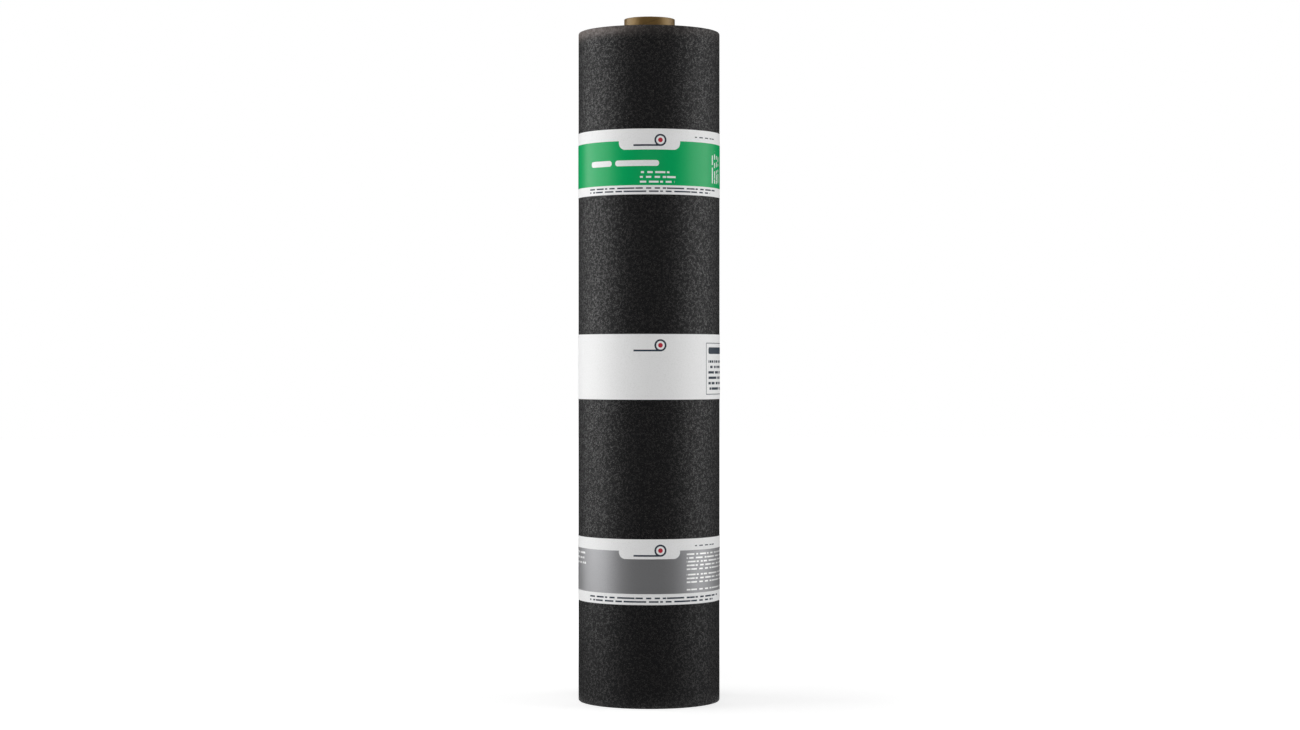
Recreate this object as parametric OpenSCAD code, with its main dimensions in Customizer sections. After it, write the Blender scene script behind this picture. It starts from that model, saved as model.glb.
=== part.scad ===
// Roll of roofing felt standing on its end: a sheet of bitumen felt wound on a
// cardboard core, and held closed by three paper label bands.

/* [Felt sheet] */
// Width of the sheet, which is the height of the wound roll
sheet_w = 1000; // [700:10:1200]
// Thickness of the sheet as wound
sheet_t = 3; // [2:0.1:4.5]
// Turns of the sheet around the core
turns = 22; // [8:1:30]
// Where the outer cut edge lies, counter-clockwise from +X seen from above
cut_edge_angle = 105; // [0:5:355]
// Radius worn on the outer rim at both ends
rim_round = 2.2; // [0.4:0.1:2.5]
// Width of the seam between two turns on the end faces
seam_w = 0.7; // [0.3:0.1:1.2]
// Depth of the seam between two turns
seam_depth = 1.5; // [0.5:0.1:5]

/* [Core] */
// Outside diameter of the cardboard core
core_od = 76; // [50:1:110]
// Wall of the core
core_wall = 4; // [2:0.5:8]
// Length of core that stands out of the top end
core_stand = 21; // [5:1:60]
// Gap between the core and the first turn
core_gap = 0.2; // [0.1:0.05:0.5]

/* [Label bands] */
// Width of a label band
band_w = 96; // [40:1:140]
// Thickness of a band's paper
band_t = 0.3; // [0.1:0.05:0.6]
// Distance from an end of the roll to the middle of its nearest band
band_inset = 200; // [80:5:340]
// Gap between a band and the felt
band_gap = 0.1; // [0.05:0.05:0.4]
// How far a band is pressed in from the taut line beside the cut edge
band_press = 0.25; // [0.1:0.05:0.6]
// How far a band's glued ends overlap
lap_l = 25; // [10:1:60]
// Where the overlap starts, clockwise from the cut edge seen from above
lap_angle = 62; // [40:1:120]

/* [Hidden] */
$fn = 180;
// Amount by which a cutting shape passes the faces that it cuts
overcut = 1;
// The spiral is drawn with half-turns about two centres, this far to each side of the core's axis
centre_shift = sheet_t / 4;
bore_r = core_od / 2 + core_gap;
// Radii of the two innermost half-turns, about their own centres
low_start_r = bore_r + centre_shift;
high_start_r = bore_r + 3 * centre_shift;
// Radii of the two half-turns that form the outside of the roll
low_r = low_start_r + turns * sheet_t;
high_r = high_start_r + turns * sheet_t;
// Flat steps that the worn rim's quarter circle is drawn with
rim_steps = 6;

// Corner points of a V-shaped seam in the end face at height z: the bottom one is cut up (inward 1)
// and listed outwards, and the top one is cut down (inward -1) and listed towards the centre
function seam_notch(r, z, inward) = [
    [r - inward * seam_w / 2, z],
    [r, z + inward * seam_depth],
    [r + inward * seam_w / 2, z],
];

// Quarter circle of the worn rim about [r, z], counter-clockwise from the angle start
function rim_arc(r, z, start) = [
    for (i = [0 : rim_steps])
        let (a = start + 90 * i / rim_steps)
            [r + rim_round * cos(a), z + rim_round * sin(a)]
];

// Section of half the roll, from its centre line out to outer_r, with a seam at each radius in seams
function roll_section(outer_r, seams) = concat(
    [[0, 0]],
    [for (r = seams) each seam_notch(r, 0, 1)],
    rim_arc(outer_r - rim_round, rim_round, -90),
    rim_arc(outer_r - rim_round, sheet_w - rim_round, 0),
    [for (i = [len(seams) - 1 : -1 : 0]) each seam_notch(seams[i], sheet_w, -1)],
    [[0, sheet_w]]
);

// Half of the roll, turned about its own centre line
module half_roll(start_r, first_seam) {
    seams = [for (i = [first_seam : turns - 1]) start_r + i * sheet_t];
    rotate_extrude(angle = 180)
        polygon(roll_section(start_r + turns * sheet_t, seams));
}

// Half disc on the +Y side, or on the -Y side where side is -1
module half_disc(r, side) {
    intersection() {
        circle(r);
        translate([-2 * r, side > 0 ? 0 : -2 * r])
            square([4 * r, 2 * r]);
    }
}

// Outline of the wound roll, grown by grow, with a flat that bridges the step at the cut edge
module bridged_outline(grow) {
    edge_x = low_r + grow + sheet_t;
    flat_r = low_r + grow - band_press;
    flat_angle = acos(flat_r / edge_x);
    translate([centre_shift, 0])
        half_disc(high_r + grow, 1);
    translate([-centre_shift, 0]) {
        half_disc(low_r + grow, -1);
        polygon([[0, 0], [flat_r * cos(flat_angle), -flat_r * sin(flat_angle)], [edge_x, 0]]);
    }
}

// Outline of the outer of a band's two overlapping ends, filled in to the roll's centre
module lap_outline() {
    lap_r = low_r + band_gap + 2 * band_t;
    lap_end = lap_angle + lap_l / lap_r * 180 / PI;
    translate([-centre_shift, 0])
        intersection() {
            circle(lap_r);
            polygon([[0, 0], for (a = [lap_angle, lap_end]) 2 * lap_r * [cos(a), -sin(a)]]);
        }
}

// Paper band round the roll with its middle at height z
module label_band(z) {
    translate([0, 0, z - band_w / 2])
        rotate([0, 0, cut_edge_angle])
            linear_extrude(band_w)
                difference() {
                    union() {
                        bridged_outline(band_gap + band_t);
                        lap_outline();
                    }
                    bridged_outline(band_gap);
                }
}

// The wound sheet: two half-turned bodies that meet in one spiral, with the core's bore through it
module felt_roll() {
    color([0.13, 0.13, 0.13])
        difference() {
            rotate([0, 0, cut_edge_angle]) {
                translate([centre_shift, 0, 0])
                    half_roll(high_start_r, 0);
                translate([-centre_shift, 0, 0])
                    rotate([0, 0, 180])
                        half_roll(low_start_r, 1);
            }
            translate([0, 0, -overcut])
                cylinder(r = bore_r, h = sheet_w + 2 * overcut);
        }
}

module core_tube() {
    color([0.57, 0.47, 0.3])
        difference() {
            cylinder(d = core_od, h = sheet_w + core_stand);
            translate([0, 0, -overcut])
                cylinder(d = core_od - 2 * core_wall, h = sheet_w + core_stand + 2 * overcut);
        }
}

module top_label_band() {
    color([0.1, 0.62, 0.38])
        label_band(sheet_w - band_inset);
}

module middle_label_band() {
    color([0.92, 0.92, 0.92])
        label_band(sheet_w / 2);
}

module bottom_label_band() {
    color([0.55, 0.55, 0.56])
        label_band(band_inset);
}

felt_roll();
core_tube();
top_label_band();
middle_label_band();
bottom_label_band();
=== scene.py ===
import bisect
import math

import bmesh
import bpy
from bpy.props import FloatProperty, FloatVectorProperty, IntProperty, PointerProperty
from mathutils import Matrix, Vector, noise


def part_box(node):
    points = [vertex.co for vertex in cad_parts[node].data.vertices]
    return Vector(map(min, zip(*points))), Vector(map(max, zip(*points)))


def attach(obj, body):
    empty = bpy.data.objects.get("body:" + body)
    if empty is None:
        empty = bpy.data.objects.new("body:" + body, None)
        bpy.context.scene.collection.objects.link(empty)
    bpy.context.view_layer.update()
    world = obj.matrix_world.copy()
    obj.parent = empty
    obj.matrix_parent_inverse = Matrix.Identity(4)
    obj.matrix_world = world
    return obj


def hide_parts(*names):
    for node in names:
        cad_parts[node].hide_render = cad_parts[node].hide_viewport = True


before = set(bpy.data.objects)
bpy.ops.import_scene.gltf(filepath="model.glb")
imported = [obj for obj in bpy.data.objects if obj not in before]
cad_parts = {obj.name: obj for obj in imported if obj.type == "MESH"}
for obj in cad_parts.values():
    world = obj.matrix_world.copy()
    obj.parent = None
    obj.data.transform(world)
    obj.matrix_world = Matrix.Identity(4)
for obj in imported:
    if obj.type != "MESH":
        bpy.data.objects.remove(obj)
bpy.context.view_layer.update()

bl_info = {
    "name": "Roofing Felt Roll",
    "version": (1, 0, 0),
    "blender": (4, 5, 0),
    "location": "3D View > Sidebar > Felt Roll",
    "description": "Winds a roll of roofing felt on its cardboard core and wraps it in paper label bands",
    "category": "Object",
}

BODY = "root"
FELT_LOW, FELT_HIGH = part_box("felt_roll")
CORE_LOW, CORE_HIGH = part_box("core_tube")
BAND_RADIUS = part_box("middle_label_band")[1].x
MM = 0.001
# How far from an end the ring lies that keeps the rounded corner out of the flat side's shading
RIM_RING = 5 * MM
# Length of the faces along the felt sheet and along a label band
SHEET_STEP = 5 * MM
BAND_STEP = 2 * MM
# Rows of faces across a label band, and columns of faces round the core
BAND_ROWS = 24
CORE_FACES = 160
# Length of sheet over which the rims' wear sets in, at the start of the last turn
WEAR_RUN = 100 * MM
# Length of sheet over which the edges come into line, before the last turn
SETTLE_RUN = 1200 * MM
# How fast the edges stray, in waves per metre of sheet
WANDER_RATE = 3.1
# Depth of the fuzz on the core's top rim, and how fine it is
FUZZ_DEPTH = 0.2 * MM
FUZZ_SCALE = 260.0
# Length over which a band's end climbs on to its start, and the length of that end that curls
LAP_RISE = 8 * MM
CURL_RUN = 14 * MM
# Corners sharper than this between two faces stay crisp in the shading
CRISP_ANGLE = math.radians(35)


class ROLL_PG_sheet(bpy.types.PropertyGroup):
    """The felt sheet as it is wound, and its colours."""

    width: FloatProperty(
        name="Sheet width", description="Width of the sheet, which is the height of the roll",
        default=FELT_HIGH.z - FELT_LOW.z, unit="LENGTH")
    pitch: FloatProperty(
        name="Turn pitch", description="How far each turn lies outside the one before",
        default=3 * MM, unit="LENGTH")
    slack: FloatProperty(
        name="Slack", description="Gap between two turns", default=0.12 * MM, unit="LENGTH")
    turns: IntProperty(name="Turns", description="Turns of the sheet around the core", default=22, min=1)
    start_radius: FloatProperty(
        name="Start radius", description="Radius at which the sheet starts, just clear of the core",
        default=CORE_HIGH.x + 0.2 * MM, unit="LENGTH")
    cut_edge_angle: FloatProperty(
        name="Cut edge angle", description="Where the outer cut edge lies, counter-clockwise from +X",
        default=math.radians(105), subtype="ANGLE")
    edge_round: FloatProperty(
        name="Edge rounding", description="Rounding of the sheet's long edges",
        default=1.0 * MM, unit="LENGTH")
    rim_round: FloatProperty(
        name="Rim rounding", description="Rounding worn on the outermost turn's rims",
        default=2.2 * MM, unit="LENGTH")
    wander: FloatProperty(
        name="Wander", description="How far the turns' edges stray from one level at the ends",
        default=1.1 * MM, unit="LENGTH")
    bitumen: FloatVectorProperty(
        name="Bitumen", description="Colour of the bitumen between the grains",
        subtype="COLOR", default=(0.009, 0.009, 0.0095))
    sand: FloatVectorProperty(
        name="Sand", description="Colour of the fine sand on the felt",
        subtype="COLOR", default=(0.055, 0.049, 0.045))
    dust_depth: FloatProperty(
        name="Dust depth", description="How far down from the top rim the dust lies",
        default=20 * MM, unit="LENGTH")
    dust: FloatVectorProperty(
        name="Dust", description="Colour of the dust at the top rim and of the palest grains",
        subtype="COLOR", default=(0.2, 0.171, 0.159))
    mat_fibre: FloatVectorProperty(
        name="Mat fibre", description="Colour of the reinforcing mat where the sheet is cut",
        subtype="COLOR", default=(0.1, 0.096, 0.088))


class ROLL_PG_core(bpy.types.PropertyGroup):
    """The cardboard core and its colours."""

    wall: FloatProperty(
        name="Wall", description="Thickness of the core's wall", default=4 * MM, unit="LENGTH")
    lip_round: FloatProperty(
        name="Lip rounding", description="Rounding of the core's cut rims", default=0.5 * MM, unit="LENGTH")
    ply_width: FloatProperty(
        name="Ply width", description="Height that one spiral ply of the core climbs in a turn",
        default=90 * MM, unit="LENGTH")
    board: FloatVectorProperty(
        name="Board", description="Colour of the kraft board",
        subtype="COLOR", default=(0.175, 0.104, 0.034))
    fleck: FloatVectorProperty(
        name="Fleck", description="Colour of the dark fibres in the board",
        subtype="COLOR", default=(0.085, 0.047, 0.016))
    sheen: FloatVectorProperty(
        name="Sheen", description="Colour of the gloss on the smoothed board",
        subtype="COLOR", default=(1.0, 0.72, 0.36))


class ROLL_PG_labels(bpy.types.PropertyGroup):
    """The paper label bands and the inks on them."""

    paper_thickness: FloatProperty(
        name="Paper thickness", description="Thickness of the label paper",
        default=0.26 * MM, unit="LENGTH")
    paper_gap: FloatProperty(
        name="Paper gap", description="Gap between the paper and the felt",
        default=0.03 * MM, unit="LENGTH")
    lap_turn: FloatProperty(
        name="Lap place", description="Where a band's ends overlap, clockwise from the felt's cut edge",
        default=math.radians(62), subtype="ANGLE")
    lap: FloatProperty(
        name="Lap", description="How far a band's ends overlap", default=25 * MM, unit="LENGTH")
    ripple: FloatProperty(
        name="Ripple", description="How far a band's edges stand off the felt",
        default=0.09 * MM, unit="LENGTH")
    curl: FloatProperty(
        name="Curl", description="How far a band's free end stands off the lap",
        default=0.7 * MM, unit="LENGTH")
    paper: FloatVectorProperty(
        name="Paper", description="Colour of the bare paper", subtype="COLOR", default=(0.86, 0.86, 0.86))
    green: FloatVectorProperty(
        name="Green ink", description="Colour of the top label's field",
        subtype="COLOR", default=(0.0, 0.37, 0.108))
    silver: FloatVectorProperty(
        name="Silver ink", description="Colour of the bottom label's metallic field",
        subtype="COLOR", default=(0.33, 0.33, 0.34))
    slate: FloatVectorProperty(
        name="Slate ink", description="Colour of the marks and the small print",
        subtype="COLOR", default=(0.03, 0.042, 0.06))
    red: FloatVectorProperty(
        name="Red ink", description="Colour of the dot in the roll marks",
        subtype="COLOR", default=(0.5, 0.03, 0.05))


class ROLL_PG_stage(bpy.types.PropertyGroup):
    """The camera and the studio light."""

    camera_distance: FloatProperty(
        name="Camera distance", description="Distance from the camera to the roll's axis",
        default=3.854, unit="LENGTH")
    camera_height: FloatProperty(
        name="Camera height", description="Height of the camera, which looks level",
        default=0.5027, unit="LENGTH")
    camera_side: FloatProperty(
        name="Camera side step", description="How far the camera stands to the right of the roll's axis",
        default=0.7 * MM, unit="LENGTH")
    lens: FloatProperty(name="Lens", description="Focal length in millimetres", default=71.09)
    left_power: FloatProperty(
        name="Left lamp", description="Power of the left softbox", default=13.4, unit="POWER")
    right_power: FloatProperty(
        name="Right lamp", description="Power of the right softbox", default=8.7, unit="POWER")
    fill_power: FloatProperty(
        name="Front fill", description="Power of the fill lamp in front, which gives no highlights",
        default=42.0, unit="POWER")
    ambient: FloatProperty(
        name="Ambient", description="Strength of the studio's ambient light", default=0.12)


class Field:
    """A number that varies over a surface. Arithmetic on it adds Math nodes to its tree."""

    def __init__(self, nodes, socket):
        self.nodes = nodes
        self.socket = socket

    def __add__(self, other):
        return self.nodes.math("ADD", self, other)

    __radd__ = __add__

    def __sub__(self, other):
        return self.nodes.math("SUBTRACT", self, other)

    def __rsub__(self, other):
        return self.nodes.math("SUBTRACT", other, self)

    def __mul__(self, other):
        return self.nodes.math("MULTIPLY", self, other)

    __rmul__ = __mul__

    def __truediv__(self, other):
        return self.nodes.math("DIVIDE", self, other)

    def __rtruediv__(self, other):
        return self.nodes.math("DIVIDE", other, self)

    def __gt__(self, other):
        return self.nodes.math("GREATER_THAN", self, other)

    def __lt__(self, other):
        return self.nodes.math("LESS_THAN", self, other)

    def __or__(self, other):
        return self.nodes.math("MAXIMUM", self, other)

    __ror__ = __or__

    def near(self, middle, reach):
        """1 within reach of middle, and 0 elsewhere."""
        return self.nodes.math("COMPARE", self, middle, reach)

    def ramp(self, start, end):
        """Rises smoothly from 0 at start to 1 at end."""
        settings = {"interpolation_type": "SMOOTHSTEP"}
        sockets = {"Value": self, "From Min": start, "From Max": end}
        return Field(self.nodes, self.nodes.node("ShaderNodeMapRange", settings, sockets).outputs[0])


class Nodes:
    """A node tree, and the ways to add nodes to it."""

    def __init__(self, tree):
        self.tree = tree

    def fill(self, socket, value):
        """Links a field or socket to a socket, or sets a plain value on it."""
        if isinstance(value, Field):
            value = value.socket
        if isinstance(value, bpy.types.NodeSocket):
            self.tree.links.new(value, socket)
        elif socket.type == "RGBA":
            socket.default_value = (*value[:3], 1.0)
        else:
            socket.default_value = value

    def node(self, kind, settings=None, sockets=None):
        """Adds a node of that type, with its settings first and then its sockets' values or links."""
        made = self.tree.nodes.new(kind)
        for name, value in (settings or {}).items():
            setattr(made, name, value)
        for name, value in (sockets or {}).items():
            self.fill(made.inputs[name], value)
        return made

    def math(self, operation, *values):
        """The result of a Math node on fields or numbers."""
        sockets = dict(enumerate(values))
        return Field(self, self.node("ShaderNodeMath", {"operation": operation}, sockets).outputs[0])

    def mix(self, share, first, second, blend="MIX"):
        """Colour that goes from first to second, or to another blend of both, as share goes from 0 to 1."""
        settings = {"data_type": "RGBA", "blend_type": blend}
        return self.node("ShaderNodeMix", settings, {0: share, 6: first, 7: second}).outputs[2]

    def seen_white(self):
        """1 for rays from the camera, or from gloss or glass, and 0 for the rays that light the object."""
        path = self.node("ShaderNodeLightPath").outputs
        camera, gloss, glass = (
            Field(self, path[name]) for name in ("Is Camera Ray", "Is Glossy Ray", "Is Transmission Ray"))
        return camera | gloss | glass


class Finish(Nodes):
    """A material with one Principled shader, and the nodes that feed it."""

    def __init__(self, name):
        self.material = bpy.data.materials.new(name)
        self.material.use_nodes = True
        super().__init__(self.material.node_tree)
        self.shader = self.tree.nodes["Principled BSDF"]
        self.place = self.node("ShaderNodeTexCoord").outputs["Object"]
        axes = self.node("ShaderNodeSeparateXYZ", sockets={"Vector": self.place}).outputs
        self.x, self.y, self.z = (Field(self, axis) for axis in axes)

    def from_axis(self):
        """Distance from the roll's axis."""
        return self.math("SQRT", self.x * self.x + self.y * self.y)

    def stretched(self, scale):
        """Object coordinates with each axis scaled."""
        sockets = {"Vector": self.place, "Scale": scale}
        return self.node("ShaderNodeMapping", sockets=sockets).outputs[0]

    def noise(self, scale, detail=2.0, roughness=0.5, place=None):
        """Soft, uneven noise between 0 and 1."""
        place = place or self.place
        sockets = {"Vector": place, "Scale": scale, "Detail": detail, "Roughness": roughness}
        return Field(self, self.node("ShaderNodeTexNoise", sockets=sockets).outputs[0])

    def noise_line(self, along, scale):
        """Noise along one number."""
        settings = {"noise_dimensions": "1D"}
        sockets = {"W": along, "Scale": scale, "Detail": 0.0}
        return Field(self, self.node("ShaderNodeTexNoise", settings, sockets).outputs[0])

    def grains(self, scale):
        """Packed grains: how far a point is from its grain's middle, and a random number for each grain."""
        made = self.node("ShaderNodeTexVoronoi", sockets={"Vector": self.place, "Scale": scale})
        random = self.node("ShaderNodeSeparateColor", sockets={"Color": made.outputs["Color"]})
        return Field(self, made.outputs["Distance"]), Field(self, random.outputs[0])

    def attribute(self, name):
        """A number that the mesh keeps for each of its points."""
        made = self.node("ShaderNodeAttribute", {"attribute_name": name})
        return Field(self, made.outputs["Fac"])

    def bump(self, height, distance, strength):
        """Gives the surface fine relief in its shading."""
        sockets = {"Height": height, "Distance": distance, "Strength": strength}
        self.fill(self.shader.inputs["Normal"], self.node("ShaderNodeBump", sockets=sockets).outputs[0])

    def set(self, **values):
        """Fills the shader's sockets, whose names are written with underscores for spaces."""
        for name, value in values.items():
            self.fill(self.shader.inputs[name.replace("_", " ")], value)
        return self.material


def felt_finish(sheet):
    """Black bitumen with a fine, uneven coat of sand, and dust at the top rim, with painted light making
    the rim paler on the -X side, which faces the left softbox.
    """
    finish = Finish("sanded_felt")
    off_middle, chance = finish.grains(scale=950.0)
    clump = finish.noise(scale=260.0, roughness=0.6)
    patch = finish.noise(scale=11.0, detail=3.0, roughness=0.6)
    drawn_out = finish.stretched((55.0, 55.0, 5.0))
    streak = finish.noise(scale=1.0, detail=3.0, roughness=0.6, place=drawn_out)
    # The sand share grows over the top 50 mm, so the felt is paler towards the top rim
    rim = finish.z.ramp(sheet.width - 50 * MM, sheet.width)
    density = clump.ramp(0.36, 0.68) * (0.5 + patch * 0.7 + streak * 0.3)
    grain = off_middle.ramp(0.65, 0.25) * (chance + density * 1.2).ramp(0.6, 1.5)
    pale = off_middle.ramp(0.5, 0.2) * (chance > 0.9985)
    # Painted light: the rim is made paler toward -X, the side lit by the brighter left softbox
    painted_lit_side = 0.17 + finish.x.ramp(10 * MM, -80 * MM) * 0.83
    outside = finish.from_axis() > FELT_HIGH.x - 2 * sheet.pitch
    # This mask holds the rim's dust together with the painted light on the -X side
    dust = finish.z.ramp(sheet.width - sheet.dust_depth, sheet.width - 2 * MM) * painted_lit_side * outside
    finish.bump(clump * 0.5 + grain * 0.4 + patch * 0.6, distance=0.6 * MM, strength=0.5)
    sanded = finish.mix(grain * (0.28 + rim * 0.4), sheet.bitumen, sheet.sand)
    return finish.set(
        Base_Color=finish.mix(dust * (0.2 + clump) | pale, sanded, sheet.dust),
        Roughness=0.75 - grain * 0.15,
        Specular_IOR_Level=0.06,
        Coat_Weight=0.1 + grain * 0.9,
        Coat_Roughness=0.5,
        Coat_IOR=1.7,
    )


def cut_end_finish(sheet):
    """The sheet's cut edge: smeared bitumen, with the mat's fibres in the middle of its thickness."""
    finish = Finish("felt_cut_edge")
    across = finish.attribute("across")
    smear = finish.noise(scale=420.0, detail=3.0, roughness=0.65)
    dusty = finish.noise_line(finish.attribute("along"), scale=1.7).ramp(0.35, 0.65)
    mat = across.near(0.5, 0.2) * smear.ramp(0.35, 0.6)
    finish.bump(smear, distance=0.4 * MM, strength=0.8)
    return finish.set(
        Base_Color=finish.mix(mat * (0.35 + dusty * 0.65) + dusty * 0.12, sheet.bitumen, sheet.mat_fibre),
        Roughness=0.75 - smear * 0.25,
        Specular_IOR_Level=0.2,
    )


def kraft_finish(core):
    """Kraft board wound in a spiral, with dark fibres, ply seams and a layered top rim."""
    finish = Finish("kraft_board")
    drawn_out = finish.stretched((900.0, 900.0, 260.0))
    fibre = finish.noise(scale=1.0, detail=4.0, roughness=0.65, place=drawn_out)
    cloud = finish.noise(scale=45.0)
    turn = finish.math("ARCTAN2", finish.y, finish.x) / math.tau
    climb = finish.z / core.ply_width - turn
    seam = finish.math("FRACT", climb).near(0.5, 0.006)
    ply_thickness = 0.5 * MM
    layers = finish.math("FRACT", finish.from_axis() / ply_thickness).ramp(0.6, 1.0)
    rim_layers = layers * finish.z.ramp(CORE_HIGH.z - 0.8 * MM, CORE_HIGH.z - 0.4 * MM)
    dark = fibre.ramp(0.5, 0.75) * 0.6 + cloud * 0.3 + seam * 0.55 + rim_layers * 0.4
    finish.bump(fibre * 0.5 - seam - rim_layers * 0.6, distance=0.15 * MM, strength=0.8)
    return finish.set(
        Base_Color=finish.mix(dark, core.board, core.fleck),
        Roughness=0.42,
        Specular_IOR_Level=1.0,
        Specular_Tint=core.sheen,
    )


class LabelPrint(Finish):
    """Inks laid on a paper label. Places are in millimetres: along from the front, up from its middle."""

    def __init__(self, name, labels, middle):
        super().__init__(name)
        self.labels = labels
        self.colour = labels.paper[:]
        around = self.math("ARCTAN2", self.x, self.y * -1.0)
        self.along = around * (BAND_RADIUS / MM)
        self.up = (self.z - middle) / MM

    def ink(self, mask, colour):
        """Lays an ink over what is printed so far."""
        self.colour = self.mix(mask, self.colour, colour)

    def block(self, left, right, low, high):
        """A plain rectangle."""
        across = self.along.near((left + right) / 2, (right - left) / 2)
        return across * self.up.near((low + high) / 2, (high - low) / 2)

    def pill(self, left, right, low, high, corner):
        """A rectangle with round corners."""
        reach = []
        for place, start, end in ((self.along, left, right), (self.up, low, high)):
            off = self.math("ABSOLUTE", place - (start + end) / 2)
            reach.append((off - ((end - start) / 2 - corner)) | 0.0)
        return reach[0] * reach[0] + reach[1] * reach[1] < corner * corner

    def frame_line(self, left, right, low, high, stroke):
        """The outline of a rectangle."""
        outer = self.block(left, right, low, high)
        return outer - self.block(left + stroke, right - stroke, low + stroke, high - stroke)

    def roll_mark(self, along=16, up=31.5, size=7.6):
        """Prints a plain pictogram of a roll: its rim, its core, and the sheet that runs off it."""
        side = self.along - along
        rise = self.up - up
        distance = self.math("SQRT", side * side + rise * rise)
        stroke = size * 0.17
        sheet = self.block(along - size * 5.2, along, up - size - stroke, up - size + stroke)
        self.ink(distance.near(size, stroke) | sheet, self.labels.slate)
        self.ink(distance < size * 0.45, self.labels.red)

    def small_print(self, colour, left, right, low, rows, pitch, weight, seed, upright=False):
        """Prints rows of plain dashes where small print would be. Upright rows run up the label."""
        run, climb = (self.up, self.along) if upright else (self.along, self.up)
        place = (climb - low) / pitch
        row = self.math("FLOOR", place)
        stroke = place - row < weight
        words = self.noise_line(run * 0.16 + row * 13.7, scale=1.0) > 0.4
        ragged = right - self.noise_line(row * 7.3 + seed, scale=1.0) * (right - left) * 0.35
        half = rows * pitch / 2
        inside = climb.near(low + half, half) * (run > left) * (run < ragged)
        self.ink(stroke * words * inside, colour)

    def field(self, low, high, tab_half, tab_low, corner=10):
        """A printed field between two paper strips, with a paper tab that hangs into it from above."""
        # The tab goes on past the field's top, so its upper corners don't show
        tab = self.pill(-tab_half, tab_half, tab_low, high + 2 * corner, corner)
        return self.up.near((low + high) / 2, (high - low) / 2) * (1.0 - tab)

    def done(self, gloss=0.0, metal=0.0):
        """Finishes the paper, with gloss and metal where the ink has them."""
        fibre = self.noise(scale=700.0, detail=3.0, roughness=0.6)
        buckle = self.noise(scale=14.0)
        self.bump(fibre * 0.02 + buckle, distance=0.5 * MM, strength=0.5)
        mottle = (0.9, 0.9, 0.89)
        return self.set(
            Base_Color=self.mix(fibre.ramp(0.45, 0.75), self.colour, mottle, "MULTIPLY"),
            Roughness=0.5 + fibre * 0.1 - gloss,
            Metallic=metal,
            Specular_IOR_Level=0.22,
        )


def top_label_finish(labels, middle):
    """A satin green field with two bars and small print."""
    label = LabelPrint("green_label", labels, middle)
    field = label.field(low=-34.6, high=30.3, tab_half=46, tab_low=17.4)
    label.ink(field, labels.green)
    for left, right in ((-98, -58), (-52, 14)):
        label.ink(label.pill(left, right, low=-6.5, high=2.0, corner=4), labels.paper)
    label.small_print(labels.paper, -14, 48, -31, rows=3, pitch=7.0, weight=0.4, seed=1.0)
    label.small_print(labels.paper, -28, 24, 112, rows=4, pitch=8.0, weight=0.4, seed=5.0, upright=True)
    label.roll_mark()
    label.small_print(labels.slate, -102, 150, -44.5, rows=2, pitch=4.6, weight=0.45, seed=9.0)
    label.small_print(labels.slate, 72, 128, 36.5, rows=1, pitch=4.0, weight=0.4, seed=6.0)
    return label.done(gloss=field * 0.22)


def middle_label_finish(labels, middle):
    """Bare paper with a framed block of small print."""
    label = LabelPrint("white_label", labels, middle)
    label.roll_mark()
    label.ink(label.frame_line(96, 186, low=-41, high=35.5, stroke=1.0), labels.slate)
    label.ink(label.pill(102, 180, low=19, high=29, corner=3), labels.slate)
    label.small_print(labels.slate, 102, 182, -34, rows=6, pitch=8.0, weight=0.45, seed=7.0)
    return label.done()


def bottom_label_finish(labels, middle):
    """A metallic grey field with small print at both sides."""
    label = LabelPrint("grey_label", labels, middle)
    field = label.field(low=-32.0, high=31.0, tab_half=46, tab_low=19.0)
    label.ink(field, labels.silver)
    for right, low, rows, seed in ((190, 2, 5, 2.0), (175, -17, 3, 3.0), (180, -28, 1, 4.0)):
        label.small_print(labels.paper, 57, right, low, rows, pitch=5.5, weight=0.42, seed=seed)
    label.small_print(labels.paper, -260, -84, 8, rows=3, pitch=7.5, weight=0.4, seed=11.0)
    label.roll_mark()
    label.small_print(labels.slate, -102, 160, -44.5, rows=2, pitch=5.2, weight=0.45, seed=9.0)
    label.small_print(labels.slate, 72, 128, 36.5, rows=1, pitch=4.0, weight=0.4, seed=6.0)
    return label.done(gloss=field * 0.08, metal=field * 0.6)


class WindingLine:
    """A line in plan that a strip is wound along, clockwise, from arcs and straight stretches."""

    def __init__(self):
        self.starts = []
        self.stretches = []
        self.length = 0.0

    def add(self, length, stretch):
        """Goes on with a stretch, which gives the point and the direction at a distance along it."""
        self.starts.append(self.length)
        self.stretches.append(stretch)
        self.length += length

    def arc(self, centre_x, radius, start, end):
        """An arc about a centre on the X axis, from one angle down to another."""

        def stretch(distance):
            angle = start - distance / radius
            outwards = Vector((math.cos(angle), math.sin(angle), 0))
            return Vector((centre_x, 0, 0)) + outwards * radius, outwards

        self.add(radius * (start - end), stretch)

    def straight(self, start, end):
        """A straight stretch between two points."""
        along = end - start
        outwards = Vector((-along.y, along.x, 0)).normalized()
        self.add(along.length, lambda distance: (start + along * (distance / along.length), outwards))

    def at(self, distance):
        """The point at a distance along the line, and the direction outwards there."""
        index = bisect.bisect_right(self.starts, max(distance, 0.0)) - 1
        return self.stretches[index](distance - self.starts[index])


def clamped(value, low=0.0, high=1.0):
    return min(high, max(low, value))


def upright_section(bm, near, far, low, high, rounding, rings):
    """A thin upright section in the YZ plane with rounded corners, cut across at the rings' heights."""
    corners = [bm.verts.new((0, y, z)) for y, z in ((near, low), (far, low), (far, high), (near, high))]
    bm.faces.new(corners)
    if rounding:
        bmesh.ops.bevel(
            bm, geom=corners, offset=rounding, offset_type="OFFSET", affect="VERTICES",
            segments=3, profile=0.5, material=-1)
    for height in rings:
        bmesh.ops.bisect_plane(
            bm, geom=bm.verts[:] + bm.edges[:] + bm.faces[:], plane_co=(0, 0, height), plane_no=(0, 0, 1))


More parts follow.
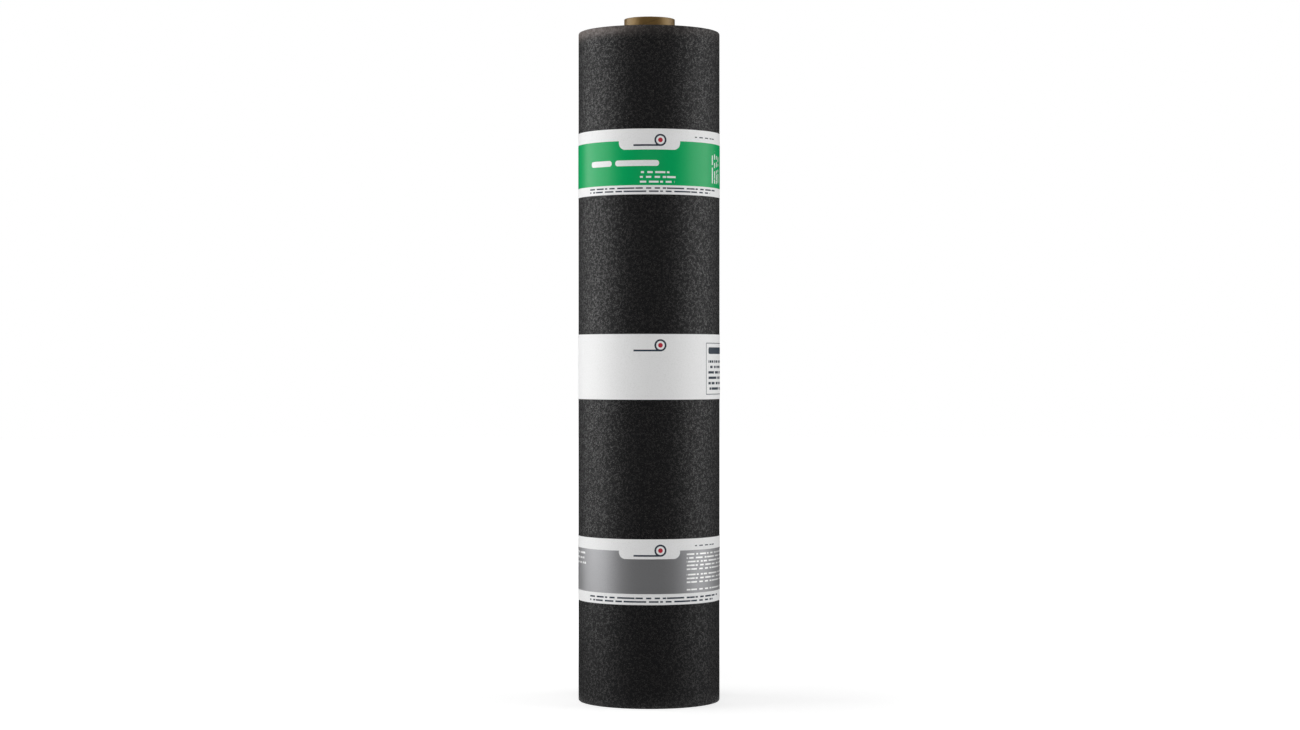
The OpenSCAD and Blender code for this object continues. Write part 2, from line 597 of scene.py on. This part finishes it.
def flat_strip(length, thickness, low, high, rounding, rings, step):
    """A flat strip that stands on its edge: X along it, Y through its thickness."""
    bm = bmesh.new()
    upright_section(bm, 0, thickness, low, high, rounding, rings)
    made = bmesh.ops.extrude_face_region(bm, geom=bm.faces[:])["geom"]
    far_end = [part for part in made if isinstance(part, bmesh.types.BMVert)]
    bmesh.ops.translate(bm, verts=far_end, vec=(length, 0, 0))
    lengthwise = [e for e in bm.edges if abs(e.verts[0].co.x - e.verts[1].co.x) > length / 2]
    bmesh.ops.subdivide_edges(bm, edges=lengthwise, cuts=round(length / step))
    bmesh.ops.recalc_face_normals(bm, faces=bm.faces)
    return bm


def wind(bm, line, turn):
    """Winds a flat strip along a line, and turns it about the upright axis."""
    for vert in bm.verts:
        point, outwards = line.at(vert.co.x)
        vert.co = point + outwards * vert.co.y + Vector((0, 0, vert.co.z))
    bmesh.ops.rotate(bm, verts=bm.verts, cent=(0, 0, 0), matrix=Matrix.Rotation(turn, 3, "Z"))


def object_of(bm, name, materials):
    """Makes an object of a bmesh, and uses the bmesh up."""
    mesh = bpy.data.meshes.new(name)
    bm.to_mesh(mesh)
    bm.free()
    for material in materials:
        mesh.materials.append(material)
    made = bpy.data.objects.new(name, mesh)
    bpy.context.scene.collection.objects.link(made)
    return made


def finished_piece(bm, name, node, materials):
    """Makes a smooth piece of a bmesh, which rides on the body in the place of a CAD node."""
    piece = object_of(bm, name, materials)
    piece.data.shade_smooth()
    piece.data.set_sharp_from_angle(angle=CRISP_ANGLE)
    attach(piece, BODY)
    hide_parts(node)


class ROLL_OT_wind_sheet(bpy.types.Operator):
    """Winds the felt sheet on the core, in half-turns about two centres"""

    bl_idname = "felt_roll.wind_sheet"
    bl_label = "Wind Felt Sheet"

    def execute(self, context):
        sheet = context.scene.roll_sheet
        line = self.spiral(sheet)
        thickness = sheet.pitch - sheet.slack
        rings = (RIM_RING, sheet.width / 2, sheet.width - RIM_RING)
        bm = flat_strip(line.length, thickness, 0, sheet.width, sheet.edge_round, rings, SHEET_STEP)
        self.mark_flat(bm, thickness)
        last_turn = line.length - math.tau * (sheet.start_radius + sheet.turns * sheet.pitch)
        self.wear_rim(bm, sheet, thickness, last_turn)
        self.stray(bm, sheet, last_turn)
        wind(bm, line, sheet.cut_edge_angle)
        finished_piece(
            bm, "felt_sheet_wound", "felt_roll", [felt_finish(sheet), cut_end_finish(sheet)])
        return {"FINISHED"}

    @staticmethod
    def spiral(sheet):
        """The line that the sheet's inner side lies on."""
        shift = sheet.pitch / 4
        line = WindingLine()
        for half in range(2 * sheet.turns):
            radius = sheet.start_radius + shift * (2 * half + 1)
            if half % 2:
                line.arc(shift, radius, math.pi, 0)
            else:
                line.arc(-shift, radius, 0, -math.pi)
        return line

    @staticmethod
    def mark_flat(bm, thickness):
        """Keeps each point's place in the flat sheet, and gives the sheet's edges the cut finish."""
        across = bm.verts.layers.float.new("across")
        along = bm.verts.layers.float.new("along")
        for vert in bm.verts:
            vert[across] = vert.co.y / thickness
            vert[along] = vert.co.x
        # The sand runs on over the outer corners, and the inner corners belong to the cut edges
        for face in bm.faces:
            face.material_index = int(-0.9 < face.normal.y < 0.5)

    @staticmethod
    def wear_rim(bm, sheet, thickness, last_turn):
        """Widens the rounding of the outer corners in the last turn, which wear the most."""
        corner = 1.01 * sheet.edge_round
        for vert in bm.verts:
            worn = clamped((vert.co.x - last_turn) / WEAR_RUN)
            grown = 1 + worn * (sheet.rim_round / sheet.edge_round - 1)
            inwards = thickness - vert.co.y
            for rim, inside in ((0, 1), (sheet.width, -1)):
                from_rim = (vert.co.z - rim) * inside
                if inwards < corner and from_rim < corner:
                    vert.co.y = thickness - inwards * grown
                    vert.co.z = rim + from_rim * grown * inside

    @staticmethod
    def stray(bm, sheet, last_turn):
        """Lets the sheet's edges stray a little into the roll as it is wound, least in the last turn."""
        for vert in bm.verts:
            loose = clamped((last_turn - vert.co.x) / SETTLE_RUN, low=0.1)
            top = noise.noise(Vector((vert.co.x * WANDER_RATE, 4.1, 0.3))) - 0.35
            base = abs(noise.noise(Vector((vert.co.x * WANDER_RATE, 9.6, 2.8))))
            up = vert.co.z / sheet.width
            vert.co.z += sheet.wander * loose * (min(top, 0.0) * up + base * (1 - up))


class ROLL_OT_make_core(bpy.types.Operator):
    """Makes the cardboard core"""

    bl_idname = "felt_roll.make_core"
    bl_label = "Make Core"

    def execute(self, context):
        core = context.scene.roll_core
        outer = CORE_HIGH.x
        bm = bmesh.new()
        rings = (CORE_LOW.z + RIM_RING, CORE_HIGH.z / 2, FELT_HIGH.z, CORE_HIGH.z - RIM_RING)
        upright_section(bm, outer - core.wall, outer, CORE_LOW.z, CORE_HIGH.z, core.lip_round, rings)
        outline = [e for e in bm.edges if e.is_boundary]
        bmesh.ops.delete(bm, geom=[e for e in bm.edges if not e.is_boundary], context="EDGES_FACES")
        bmesh.ops.spin(
            bm, geom=outline, cent=(0, 0, 0), axis=(0, 0, 1), dvec=(0, 0, 0), angle=math.tau,
            steps=CORE_FACES, use_merge=True)
        bmesh.ops.recalc_face_normals(bm, faces=bm.faces)
        for vert in bm.verts:
            if vert.co.z > CORE_HIGH.z - 2 * core.lip_round:
                fuzz = noise.noise(vert.co * FUZZ_SCALE)
                vert.co.z -= FUZZ_DEPTH * (0.5 + 0.5 * fuzz)
        finished_piece(bm, "core_tube_board", "core_tube", [kraft_finish(core)])
        return {"FINISHED"}


class ROLL_OT_wrap_labels(bpy.types.Operator):
    """Wraps the three paper label bands round the roll"""

    bl_idname = "felt_roll.wrap_labels"
    bl_label = "Wrap Label Bands"

    def execute(self, context):
        sheet = context.scene.roll_sheet
        labels = context.scene.roll_labels
        bands = (
            ("top_label_paper", "green_label", "top_label_band", top_label_finish),
            ("middle_label_paper", "white_label", "middle_label_band", middle_label_finish),
            ("bottom_label_paper", "grey_label", "bottom_label_band", bottom_label_finish),
        )
        line = self.band_line(sheet, labels)
        for name, slot, node, finish in bands:
            low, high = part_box(node)
            middle = (low.z + high.z) / 2
            width = high.z - low.z
            rings = [low.z + width * row / BAND_ROWS for row in range(1, BAND_ROWS)]
            bm = flat_strip(line.length, labels.paper_thickness, low.z, high.z, 0, rings, BAND_STEP)
            self.lift(bm, labels, line.length, middle, width / 2)
            wind(bm, line, sheet.cut_edge_angle)
            finished_piece(bm, name, node, [finish(labels, middle)])
        return {"FINISHED"}

    @staticmethod
    def band_line(sheet, labels):
        """Round both halves of the roll, straight over the cut edge, and on over the band's own start."""
        shift = sheet.pitch / 4
        low_radius = sheet.start_radius + sheet.turns * sheet.pitch + labels.paper_gap + shift
        high_radius = low_radius + 2 * shift
        flat_angle = math.acos(low_radius / (low_radius + sheet.pitch))
        line = WindingLine()
        line.arc(-shift, low_radius, -labels.lap_turn, -math.pi)
        line.arc(shift, high_radius, math.pi, 0)
        edge = Vector((shift + high_radius, 0, 0))
        landing = Vector((math.cos(flat_angle), -math.sin(flat_angle), 0)) * low_radius
        line.straight(edge, landing - Vector((shift, 0, 0)))
        line.arc(-shift, low_radius, -flat_angle, -labels.lap_turn - labels.lap / low_radius)
        return line

    @staticmethod
    def lift(bm, labels, length, middle, half_width):
        """Lifts the end of a flat band over its start, and lets its edges stand off a little."""
        lap_start = length - labels.lap
        for vert in bm.verts:
            onto = clamped((vert.co.x - lap_start) / LAP_RISE + 1)
            wave = noise.noise(Vector((vert.co.x * 25, vert.co.z * 9, 1.7)))
            edge = abs((vert.co.z - middle) / half_width) ** 6
            free = max(0.0, 1 - (length - vert.co.x) / CURL_RUN)
            uneven = abs(noise.noise(Vector((0, vert.co.z * 30, 5.2))))
            vert.co.y += onto * (labels.paper_thickness + labels.paper_gap)
            vert.co.y += edge * labels.ripple * max(0.0, 0.4 + wave)
            vert.co.y += free ** 2 * labels.curl * (0.6 + 0.8 * uneven)


class ROLL_OT_set_stage(bpy.types.Operator):
    """Sets the floor, the studio light and the camera"""

    bl_idname = "felt_roll.set_stage"
    bl_label = "Set Stage"

    def execute(self, context):
        stage = context.scene.roll_stage
        # Each cloth's name, the way it lies from the roll and half its spread in degrees, and its height
        cloths = (
            ("front_curtain", -90, 50, 5.0),
            ("back_curtain", 90, 52, 5.0),
            ("left_cloth", 190, 50, 0.1),
            ("right_cloth", -10, 50, 0.1),
        )
        self.lay_floor()
        for name, facing, half_spread, height in cloths:
            self.hang_cloth(name, math.radians(facing), math.radians(half_spread), height)
        self.light_studio(context.scene, stage)
        self.set_camera(context.scene, stage)
        context.scene.view_settings.view_transform = "Standard"
        return {"FINISHED"}

    @staticmethod
    def lay_floor():
        """A pale floor that the camera sees as white, but for the object's shadow."""
        near_glow = 0.62
        bm = bmesh.new()
        bmesh.ops.create_circle(bm, cap_ends=True, segments=96, radius=14.0)
        finish = Finish("white_floor")
        clear = finish.from_axis().ramp(0.3, 1.05)
        glow = (near_glow + clear * (1 - near_glow)) * finish.seen_white()
        material = finish.set(
            Base_Color=(0.65, 0.65, 0.65),
            Roughness=1.0,
            Specular_IOR_Level=0.0,
            Emission_Strength=1.0,
            Emission_Color=finish.mix(glow, (0, 0, 0), (1, 1, 1)),
        )
        object_of(bm, "floor", [material])

    @staticmethod
    def hang_cloth(name, facing, half_spread, height):
        """A dark cloth that gloss alone sees, laid out along the floor from the roll and hung up behind."""
        near, far = 0.12, 4.4
        bm = bmesh.new()
        profile = [bm.verts.new((x, 0, z)) for x, z in ((near, MM), (far, MM), (far, height))]
        edges = [bm.edges.new(pair) for pair in zip(profile, profile[1:])]
        bmesh.ops.rotate(
            bm, verts=profile, cent=(0, 0, 0), matrix=Matrix.Rotation(facing - half_spread, 3, "Z"))
        bmesh.ops.spin(
            bm, geom=edges, cent=(0, 0, 0), axis=(0, 0, 1), dvec=(0, 0, 0), angle=2 * half_spread, steps=24)
        black = Finish(name).set(Base_Color=(0.02, 0.02, 0.02), Roughness=1.0, Specular_IOR_Level=0.0)
        cloth = object_of(bm, name, [black])
        cloth.visible_camera = False
        cloth.visible_diffuse = False
        cloth.visible_shadow = False

    @staticmethod
    def set_camera(scene, stage):
        """A level camera in front of the roll."""
        camera = bpy.data.objects.new("camera", bpy.data.cameras.new("camera"))
        camera.data.lens = stage.lens
        camera.data.sensor_width = 36.0
        camera.location = (stage.camera_side, -stage.camera_distance, stage.camera_height)
        camera.rotation_euler = (math.radians(90), 0, 0)
        scene.collection.objects.link(camera)
        scene.camera = camera

    @staticmethod
    def light_studio(scene, stage):
        """A world that is seen as white but lights little, softboxes at the sides, and fill lamps."""
        world = bpy.data.worlds.new("studio")
        world.use_nodes = True
        scene.world = world
        nodes = Nodes(world.node_tree)
        strength = stage.ambient + nodes.seen_white() * (1 - stage.ambient)
        background = world.node_tree.nodes["Background"]
        nodes.fill(background.inputs["Color"], (1, 1, 1))
        nodes.fill(background.inputs["Strength"], strength)
        # Each lamp's name, its angle from the front, its distance, height, width, length and power
        lamps = (
            ("left_softbox", -90, 1.15, 0.76, 1.2, 1.4, stage.left_power),
            ("right_softbox", 86, 1.15, 0.76, 0.9, 1.4, stage.right_power),
            ("front_fill", 0, 3.2, 1.0, 2.2, 2.2, stage.fill_power),
            ("back_fill", 180, 3.2, 1.0, 2.2, 2.2, stage.fill_power * 0.6),
        )
        for name, degrees, distance, height, width, length, power in lamps:
            lamp = bpy.data.lights.new(name, "AREA")
            lamp.shape = "RECTANGLE"
            lamp.size = width
            lamp.size_y = length
            lamp.energy = power
            softbox = bpy.data.objects.new(name, lamp)
            turn = math.radians(degrees)
            away = Vector((math.sin(turn), -math.cos(turn), 0))
            softbox.location = away * distance + Vector((0, 0, height))
            softbox.rotation_euler = away.to_track_quat("Z", "Y").to_euler()
            softbox.visible_camera = False
            softbox.visible_glossy = "fill" not in name
            scene.collection.objects.link(softbox)


class ROLL_PT_panel(bpy.types.Panel):
    """Lists the roll's pieces and settings"""

    bl_idname = "ROLL_PT_panel"
    bl_label = "Felt Roll"
    bl_space_type = "VIEW_3D"
    bl_region_type = "UI"
    bl_category = "Felt Roll"

    def draw(self, context):
        for operator, group in STEPS:
            box = self.layout.box()
            box.operator(operator.bl_idname)
            settings = getattr(context.scene, group)
            for name in GROUPS[group].__annotations__:
                box.prop(settings, name)


GROUPS = {
    "roll_sheet": ROLL_PG_sheet,
    "roll_core": ROLL_PG_core,
    "roll_labels": ROLL_PG_labels,
    "roll_stage": ROLL_PG_stage,
}
STEPS = (
    (ROLL_OT_wind_sheet, "roll_sheet"),
    (ROLL_OT_make_core, "roll_core"),
    (ROLL_OT_wrap_labels, "roll_labels"),
    (ROLL_OT_set_stage, "roll_stage"),
)


def register():
    for name, group in GROUPS.items():
        bpy.utils.register_class(group)
        setattr(bpy.types.Scene, name, PointerProperty(type=group))
    for operator, _ in STEPS:
        bpy.utils.register_class(operator)
    bpy.utils.register_class(ROLL_PT_panel)


def unregister():
    bpy.utils.unregister_class(ROLL_PT_panel)
    for operator, _ in reversed(STEPS):
        bpy.utils.unregister_class(operator)
    for name, group in GROUPS.items():
        delattr(bpy.types.Scene, name)
        bpy.utils.unregister_class(group)


def main():
    register()
    bpy.ops.felt_roll.wind_sheet()
    bpy.ops.felt_roll.make_core()
    bpy.ops.felt_roll.wrap_labels()
    bpy.ops.felt_roll.set_stage()


if __name__ == "__main__":
    main()
